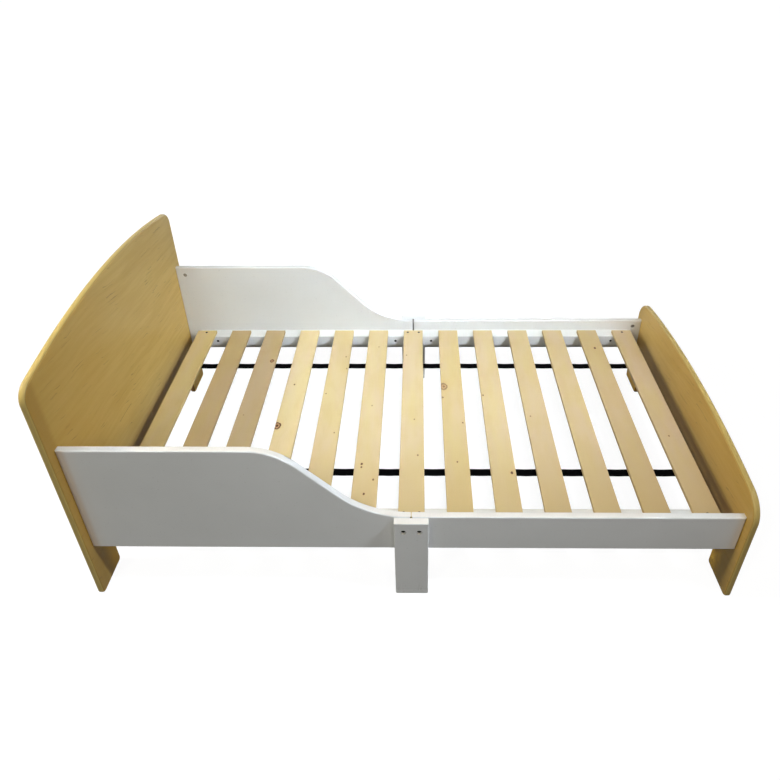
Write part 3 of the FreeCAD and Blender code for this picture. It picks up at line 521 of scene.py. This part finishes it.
def lacquer(settings):
    """Satin white lacquer with a faint ripple and scuffs where the legs meet the floor, painted
    warm shade beside the boards, and painted light that warms the near side's level faces.
    """
    finish = Material("white_lacquer")
    cloud = finish.noise((0.30, 0.30, 0.30))
    ripple = finish.noise((settings.ripple,) * 3, 2.0, 2.0)
    speck = finish.noise((0.0035, 0.0035, 0.0035), 9.0, 0.0)
    scuffs = finish.noise((0.006, 0.006, 0.02), 4.0, 4.0, 0.7)
    greyer = tint(settings.white, 0.955, 0.955, 0.955)
    base = finish.blend(cloud.rise(0.35, 0.65), tuple(settings.white), greyer)
    base = finish.blend(speck.rise(0.80, 0.84) * 0.35, base, tuple(settings.scuff))
    low = 1.0 - finish.z.rise(0.0, settings.scuff_height)
    base = finish.blend(low * scuffs.rise(0.52, 0.70) * 0.6, base, tuple(settings.scuff))
    seam = abs(finish.x).rise(*SEAM) * abs(finish.y).rise(*RAIL_THICKNESS_END)
    base = finish.blend(seam, base, tuple(settings.raw))
    # Painted warm shade on the rails' outer faces beside the boards, weaker at the foot
    ends = abs(finish.x).rise(*RAIL_END) * 0.7 + abs(finish.x).rise(*NEAR_RAIL_END) * 0.3
    ends = ends * (1.0 - finish.x.rise(0.0, 0.1) * 0.6) * abs(finish.y).rise(*RAIL_OUTSIDE)
    base = finish.blend(ends, base, tint(settings.white, 0.82, 0.74, 0.68))
    # Painted light: a warmer, slightly darker white on the level faces of the near side, away from
    # both ends
    painted_top_tint = finish.normal_z.rise(0.7, 0.95) * finish.y.rise(*TOP_NEAR_SIDE)
    painted_top_tint = painted_top_tint * finish.x.rise(*TOP_FROM) * finish.x.rise(*TOP_UNTIL)
    base = finish.blend(painted_top_tint, base, tint(settings.white, 0.96, 0.90, 0.84))
    roughness = 0.17 + cloud * 0.06 + low * 0.1
    bump = finish.relief(ripple, 0.06, 0.0001)
    return finish.shade(Base_Color=base, Roughness=roughness, Normal=bump)


def knot_spots(finish, knots, across, flow, seed):
    """How far each place is from each knot, in knot radii, and the grain that flows round them."""
    spots = []
    for place_across, place_along, radius, darkness in knots:
        aside = across - place_across
        along = (finish.y - place_along) * 0.75
        reach = finish.maths("SQRT", aside * aside + along * along) / radius
        rough = (finish.noise((radius, radius, radius), seed + place_along, 2.0) - 0.5) * 0.7
        flow = flow - aside * finish.maths("EXPONENT", reach * reach * -0.10) * 0.8
        spots.append((reach + rough, radius, darkness))
    return spots, flow


def draw_knots(finish, settings, base, spots):
    """Small knots are dark dots, and large ones have a red-brown heart in a dark rim."""
    knot, heart = tuple(settings.knot), tint(settings.knot, 3.6, 3.8, 4.0)
    for reach, radius, darkness in spots:
        halo = reach.rise(2.2, 1.0) * darkness * 0.25
        base = finish.blend(halo, base, tuple(settings.late))
        if radius < RIMMED_KNOT:
            base = finish.blend(reach.rise(1.0, 0.6) * darkness, base, knot)
        else:
            base = finish.blend(reach.rise(1.0, 0.7) * darkness * 0.7, base, heart)
            rim = reach.rise(0.55, 0.80) * reach.rise(1.15, 0.95) + reach.rise(0.4, 0.2)
            base = finish.blend(rim * darkness, base, knot)
    return base


def slat_wood(settings, number, middle):
    """Bare planed wood: soft clouds of tone, faint rings along the slat, marks and knots, with
    painted shade towards the near end and on the side faces.
    """
    finish = Material(f"slat_wood_{number:02d}")
    seed = number * 1.7
    tan_share, golden = TAN_SHARES[number - 1], GOLDEN.get(number, 0.0)
    across = finish.x - middle
    flow = across + (finish.noise((0.2, 0.30, 0.2), seed, 1.0) - 0.5) * 0.02
    knots = [knot[1:] for knot in KNOTS if knot[0] == number]
    spots, flow = knot_spots(finish, knots, across, flow, seed)
    grain_place = finish.joined(flow, finish.y, finish.z)
    bend = finish.noise((0.02, 0.3, 0.02), seed, 2.0) * 9.0
    rings = (flow * (math.tau / settings.ring_gap) + bend).sine().rise(-0.2, 1.0)
    sizes = (settings.fibre_width, settings.fibre_length, settings.fibre_width)
    fibres = finish.noise(sizes, seed, 4.0, 0.6, grain_place)
    cloud = finish.noise((0.035, 0.10, 0.035), seed + 4.0, 3.0, 0.5, grain_place)
    warmth = finish.noise((0.05, 0.20, 0.05), seed + 13.0, 2.0)
    flecks = finish.noise((0.0016, 0.006, 0.0016), seed + 9.0, 1.0).rise(0.70, 0.78)
    chatter = finish.noise((0.05, 0.0035, 0.05), seed + 17.0, 1.0).rise(0.62, 0.74)
    patches = finish.noise((0.04, 0.05, 0.04), seed + 25.0, 1.0).rise(0.50, 0.68)
    tone = mix_of(settings.pale, settings.tan, tan_share)
    tone = tint(tone, 1.0, 1.0 - 0.03 * golden, 1.0 - 0.22 * golden)
    late = mix_of(settings.late, tone, tan_share * 0.4)
    warm, cool = tint(tone, 1.02, 1.01, 0.94), tint(tone, 1.01, 0.98, 1.10)
    base = finish.blend(warmth.rise(0.35, 0.65), warm, cool)
    base = finish.blend(cloud.rise(0.40, 0.75) * 0.5, base, tint(tone, 0.94, 0.88, 0.74))
    base = finish.blend(fibres.rise(0.35, 0.75) * 0.35, base, tint(tone, 1.05, 1.05, 1.06))
    base = finish.blend(rings * cloud.rise(0.35, 0.7) * 0.10, base, late)
    # Painted shade towards the near end
    painted_near_shade = finish.y.rise(*SLAT_TOWARDS_NEAR) * 0.8
    base = finish.blend(painted_near_shade, base, tint(tone, 0.93, 0.86, 0.74))
    base = finish.blend(chatter * patches * 0.10, base, late)
    base = finish.blend(flecks * patches * 0.6, base, late)
    # Painted shade on the side faces
    painted_side_shade = finish.normal_z.rise(0.75, 0.35)
    base = finish.blend(painted_side_shade * 0.4, base, tint(tone, 0.80, 0.70, 0.55))
    base = draw_knots(finish, settings, base, spots)
    bump = finish.relief(fibres * 0.6 + rings * 0.2, 0.25, 0.0002)
    rough = 0.52 + fibres * 0.14
    return finish.shade(Base_Color=base, Roughness=rough, Specular_IOR_Level=0.25, Normal=bump)


def dowel_wood(settings):
    """Raw hardwood with fine fibre along each dowel."""
    finish = Material("dowel_wood")
    fibres = finish.noise((0.012, 0.0008, 0.0008), 1.0)
    dowel, fibre = tuple(settings.dowel), tuple(settings.dowel_fibre)
    base = finish.blend(fibres.rise(0.3, 0.7), dowel, fibre)
    return finish.shade(Base_Color=base, Roughness=0.6 + fibres * 0.2)


def steel(name, bright, dull, roughness):
    """Plated or blackened steel with fine scratches and dull patches."""
    finish = Material(name)
    patch = finish.noise((0.004, 0.004, 0.004), 1.0, 4.0, 0.7)
    scratch = finish.noise((0.0002, 0.003, 0.0002), 5.0, 2.0)
    base = finish.blend(patch.rise(0.35, 0.7), tuple(bright), tuple(dull))
    bump = finish.relief(scratch, 0.2, 0.00005)
    rough = roughness + patch * 0.18
    return finish.shade(Base_Color=base, Metallic=1.0, Roughness=rough, Normal=bump)


def webbing(settings):
    """Black yarn in staggered ribs, paler where the weave stands up: wear and a painted sheen."""
    finish = Material("black_webbing")
    ribs = (finish.x * (math.pi / settings.rib_gap)).sine()
    columns = (finish.y * (math.pi / settings.column_width)).sine()
    weave = (ribs * columns).rise(-0.5, 0.7)
    fuzz = finish.noise((0.0006, 0.0004, 0.0006), 2.0, 3.0)
    base = finish.blend(weave * fuzz.rise(0.3, 0.8), tuple(settings.black), tuple(settings.worn_and_sheen))
    bump = finish.relief(weave + fuzz * 0.4, 0.5, 0.0002)
    rough = 0.8 + fuzz * 0.2
    return finish.shade(Base_Color=base, Roughness=rough, Specular_IOR_Level=0.02, Normal=bump)


class KIDSBED_OT_boards(bpy.types.Operator):
    """Give the headboard and the footboard their laminate"""

    bl_idname = "kidsbed.boards"
    bl_label = "Boards"

    def execute(self, context):
        dress(BOARDS, laminate(context.scene.kidsbed_boards))
        return {"FINISHED"}


class KIDSBED_OT_rails(bpy.types.Operator):
    """Give rails, battens and middle legs their white lacquer"""

    bl_idname = "kidsbed.rails"
    bl_label = "Rails, battens and legs"

    def execute(self, context):
        dress(LACQUERED, lacquer(context.scene.kidsbed_lacquer))
        return {"FINISHED"}


class KIDSBED_OT_slats(bpy.types.Operator):
    """Give each slat its own bare wood"""

    bl_idname = "kidsbed.slats"
    bl_label = "Slats"

    def execute(self, context):
        settings = context.scene.kidsbed_slats
        for number, name in enumerate(SLATS, start=1):
            low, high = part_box(name)
            dress([name], slat_wood(settings, number, (low.x + high.x) / 2))
        return {"FINISHED"}


class KIDSBED_OT_fasteners(bpy.types.Operator):
    """Give bolts, nuts, inserts, staples, screws and dowels their finishes"""

    bl_idname = "kidsbed.fasteners"
    bl_label = "Fasteners"

    def execute(self, context):
        tones = context.scene.kidsbed_fasteners
        dress(PLATED, steel("zinc_steel", tones.zinc, tones.zinc_dull, 0.30))
        # Darker steel on the middle legs' bolts: painted shade of their recesses
        painted_shade_bolt = steel("zinc_steel_painted_shade", tones.leg_bolt, tones.leg_bolt_dull, 0.36)
        dress(["leg_bolts"], painted_shade_bolt)
        dress(BLACKENED, steel("dark_steel", tones.screw, tones.screw_dull, 0.42))
        dress(DOWELS, dowel_wood(tones))
        return {"FINISHED"}


def slat_gaps():
    """Where each gap between two slats begins and ends along the bed."""
    boxes = [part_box(name) for name in SLATS]
    return [(before[1].x, after[0].x) for before, after in zip(boxes, boxes[1:])]


def hanging(x, gaps):
    """How far a strap hangs down: nothing below a slat, 1 in the middle of a gap."""
    for left, right in gaps:
        if left < x < right:
            return math.sin(math.pi * (x - left) / (right - left)) ** 2
    return 0.0


def make_strap(name, settings):
    """Woven webbing in place of a plain band."""
    low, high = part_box(name)
    gaps = slat_gaps()
    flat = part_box(SLATS[0])[0].z - settings.thickness / 2 - settings.relief
    length, width = high.x - low.x, high.y - low.y
    middle_x, middle_y = (low.x + high.x) / 2, (low.y + high.y) / 2
    columns = round(length / settings.rib_gap * 3)
    rows = round(width / settings.column_width * 2)
    shape = bmesh.new()
    bmesh.ops.create_grid(shape, x_segments=columns, y_segments=rows, size=0.5)
    sag = high.z - low.z - settings.thickness * 1.4
    for vertex in shape.verts:
        x = middle_x + vertex.co.x * length
        side = vertex.co.y * width
        rib = math.sin(math.pi * x / settings.rib_gap)
        column = math.sin(math.pi * side / settings.column_width)
        # Slow waves, other ones for each strap: it strays from its line and hangs unevenly
        stray = math.sin(x * 4.1 + middle_y * 9) + 0.5 * math.sin(x * 11.3 + middle_y * 31)
        slack = sag * (0.8 + 0.2 * math.sin(x * 23 + middle_y * 50))
        z = flat - slack * hanging(x, gaps) + settings.relief * rib * column
        vertex.co = (x, middle_y + side + settings.wander * stray / 1.5, z)
    mesh = new_mesh(f"woven_{name}", shape)
    for face in mesh.polygons:
        face.use_smooth = True
    strap = new_object(f"woven_{name}", mesh)
    wall = strap.modifiers.new("thickness", "SOLIDIFY")
    wall.thickness = settings.thickness
    wall.offset = 0.0
    return strap


class KIDSBED_OT_straps(bpy.types.Operator):
    """Weave the two straps under the slats"""

    bl_idname = "kidsbed.straps"
    bl_label = "Straps"

    def execute(self, context):
        settings = context.scene.kidsbed_straps
        material = webbing(settings)
        for name in STRAPS:
            strap = make_strap(name, settings)
            strap.data.materials.append(material)
            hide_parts(name)
            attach(strap, BODY)
        return {"FINISHED"}


def make_camera(settings):
    """The camera at the photograph's viewing angle, whose focal length and centre are in pixels."""
    camera = new_object("camera", bpy.data.cameras.new("camera"))
    picture, focal_pixels = 780.0, 632.517
    centre_x, centre_y = 408.829, 274.438
    camera.data.sensor_width = 36.0
    camera.data.lens = focal_pixels / picture * camera.data.sensor_width
    camera.data.shift_x = 0.5 - centre_x / picture
    camera.data.shift_y = centre_y / picture - 0.5
    turn = Matrix.Rotation(settings.camera_turn, 4, "Z")
    dip = Matrix.Rotation(math.pi / 2 - settings.camera_dip, 4, "X")
    roll = Matrix.Rotation(settings.camera_roll, 4, "Z")
    camera.matrix_world = Matrix.Translation(settings.camera_place) @ turn @ dip @ roll
    bpy.context.scene.camera = camera


def make_lamp(name, place, aim, size, power, spread, tone):
    """A lamp that points at a place on the bed."""
    lamp = new_object(name, bpy.data.lights.new(name, "AREA"))
    lamp.data.shape = "SQUARE"
    lamp.data.size = size
    lamp.data.energy = power
    lamp.data.spread = math.radians(spread)
    lamp.data.color = tone
    lamp.visible_camera = False
    lamp.location = place
    lamp.rotation_euler = (Vector(aim) - Vector(place)).to_track_quat("-Z", "Y").to_euler()


def seen(finish, gloss=1.0):
    """1 for the rays that show the background: from the camera, off a gloss or through glass."""
    path = finish.node("ShaderNodeLightPath").socket.node
    names = ("Is Camera Ray", "Is Glossy Ray", "Is Transmission Ray")
    camera, glossy, through = (Field(finish, path.outputs[name]) for name in names)
    return camera.larger(glossy * gloss).larger(through)


def make_floor(settings):
    """A white floor that keeps the bed's soft shadow."""
    shape = bmesh.new()
    bmesh.ops.create_grid(shape, x_segments=1, y_segments=1, size=20.0)
    # A little below the soles, which would otherwise share its plane
    bmesh.ops.translate(shape, verts=shape.verts, vec=(0.0, 0.0, -0.0003))
    mesh = new_mesh("floor", shape)
    floor = new_object("floor", mesh)
    material = bpy.data.materials.new("floor")
    finish = Finish(material)
    finish.tree.nodes.clear()
    x, y, _ = finish.parts(finish.node("ShaderNodeTexCoord", output="Object"))
    distance = finish.maths("SQRT", x * x + y * y)
    outwards = distance.rise(settings.clear_from, settings.clear_from * 2.5)
    white = settings.floor_glow + outwards * (1.0 - settings.floor_glow)
    # In reflections the floor glows much less near the bed: painted shade under the bed
    glow = seen(finish, gloss=0.2 + outwards * 0.8) * white
    bounce = finish.node("ShaderNodeBsdfDiffuse", inputs={"Color": (0.12, 0.12, 0.12, 1.0)})
    glow = finish.node("ShaderNodeEmission", inputs={"Strength": glow})
    both = finish.node("ShaderNodeAddShader", inputs={0: bounce, 1: glow})
    finish.node("ShaderNodeOutputMaterial", inputs={"Surface": both})
    mesh.materials.append(material)


def make_world(settings):
    """Soft light from above, and white wherever the background is seen."""
    world = bpy.data.worlds.new("studio")
    bpy.context.scene.world = world
    finish = Finish(world)
    finish.tree.nodes.clear()
    direction = finish.node("ShaderNodeTexCoord", output="Generated")
    overhead = finish.parts(direction)[2].rise(0.0, 0.6)
    background = seen(finish)
    strength = background + (1.0 - background) * overhead * settings.ambient
    inputs = {"Color": (1.0, 1.0, 1.0, 1.0), "Strength": strength}
    light = finish.node("ShaderNodeBackground", inputs=inputs)
    finish.node("ShaderNodeOutputWorld", inputs={"Surface": light})


class KIDSBED_OT_stage(bpy.types.Operator):
    """Set up the camera, the lamps and the floor"""

    bl_idname = "kidsbed.stage"
    bl_label = "Stage"

    def execute(self, context):
        settings = context.scene.kidsbed_stage
        make_camera(settings)
        for name, place, aim, size, power, spread, tone in LAMPS:
            make_lamp(name, place, aim, size, power * settings.brightness, spread, tone)
        make_floor(settings)
        make_world(settings)
        context.scene.view_settings.view_transform = "Standard"
        return {"FINISHED"}


class KIDSBED_PT_panel(bpy.types.Panel):
    """Lists the bed's pieces and their settings"""

    bl_label = "Kids Bed"
    bl_space_type = "VIEW_3D"
    bl_region_type = "UI"
    bl_category = "Kids Bed"

    def draw(self, context):
        for operator, group in STEPS:
            box = self.layout.box()
            box.operator(operator.bl_idname)
            settings = getattr(context.scene, group)
            for name in settings.bl_rna.properties.keys():
                if name not in ("rna_type", "name"):
                    box.prop(settings, name)


GROUPS = {
    "kidsbed_boards": KIDSBED_PG_boards,
    "kidsbed_lacquer": KIDSBED_PG_lacquer,
    "kidsbed_slats": KIDSBED_PG_slats,
    "kidsbed_fasteners": KIDSBED_PG_fasteners,
    "kidsbed_straps": KIDSBED_PG_straps,
    "kidsbed_stage": KIDSBED_PG_stage,
}

STEPS = (
    (KIDSBED_OT_boards, "kidsbed_boards"),
    (KIDSBED_OT_rails, "kidsbed_lacquer"),
    (KIDSBED_OT_slats, "kidsbed_slats"),
    (KIDSBED_OT_fasteners, "kidsbed_fasteners"),
    (KIDSBED_OT_straps, "kidsbed_straps"),
    (KIDSBED_OT_stage, "kidsbed_stage"),
)


def register():
    for name, group in GROUPS.items():
        bpy.utils.register_class(group)
        setattr(bpy.types.Scene, name, bpy.props.PointerProperty(type=group))
    for operator, _ in STEPS:
        bpy.utils.register_class(operator)
    bpy.utils.register_class(KIDSBED_PT_panel)


def unregister():
    bpy.utils.unregister_class(KIDSBED_PT_panel)
    for operator, _ in reversed(STEPS):
        bpy.utils.unregister_class(operator)
    for name, group in reversed(list(GROUPS.items())):
        delattr(bpy.types.Scene, name)
        bpy.utils.unregister_class(group)


def main():
    register()
    bpy.ops.kidsbed.boards()
    bpy.ops.kidsbed.rails()
    bpy.ops.kidsbed.slats()
    bpy.ops.kidsbed.fasteners()
    bpy.ops.kidsbed.straps()
    bpy.ops.kidsbed.stage()


if __name__ == "__main__":
    main()
